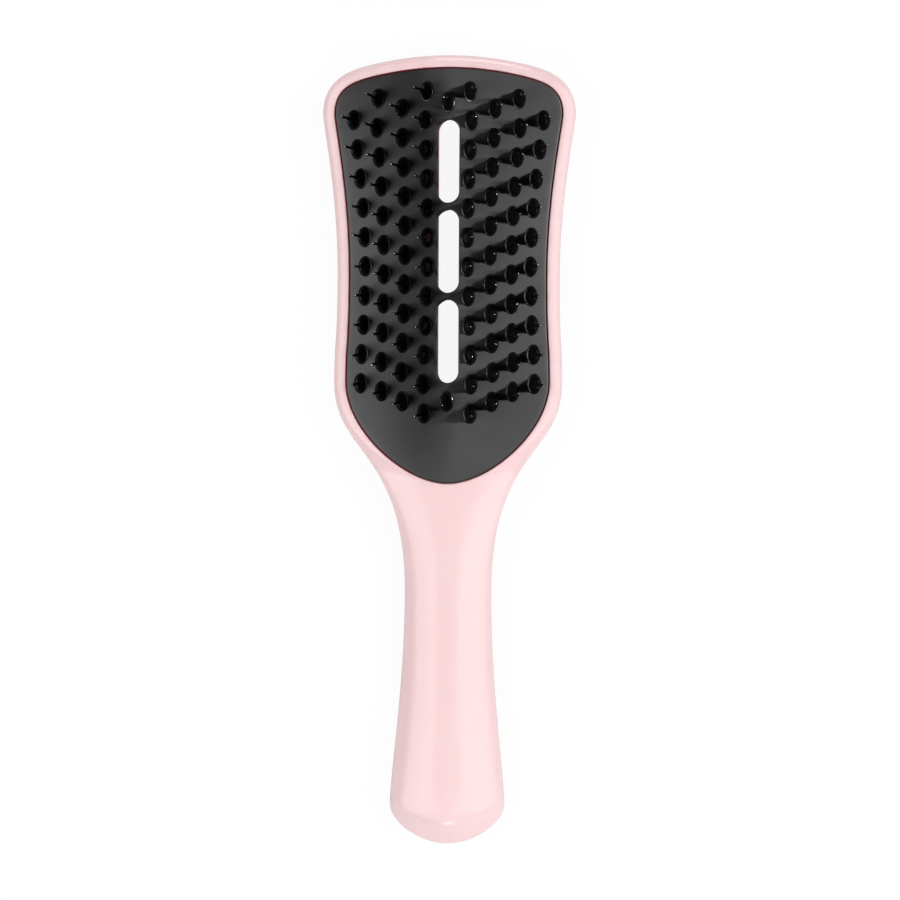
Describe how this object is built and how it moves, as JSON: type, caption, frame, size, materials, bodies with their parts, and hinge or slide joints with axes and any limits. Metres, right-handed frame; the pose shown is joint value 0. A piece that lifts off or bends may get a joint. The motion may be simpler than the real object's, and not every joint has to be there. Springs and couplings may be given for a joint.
{
  "type": "vent brush",
  "caption": "Hair brush with a long head, a pad of flexible teeth, slots that let air through the head, and a smooth handle made of two shells.",
  "frame": {"origin": "Middle of the bounding box's lowest face, on the surface that the brush lies on, on its back.", "axes": "+Y along the brush from the handle's tail to the crown of the head, +Z out of the pad along the teeth, X across the head."},
  "size_m": [0.076, 0.2364, 0.031],
  "materials": {
    "shell": "glossy pale pink",
    "pad": "satin black"
  },
  "bodies": {
    "root": {"front_shell": "shell", "back_shell": "shell", "bristle_pad": "pad"}
  },
  "joints": []
}
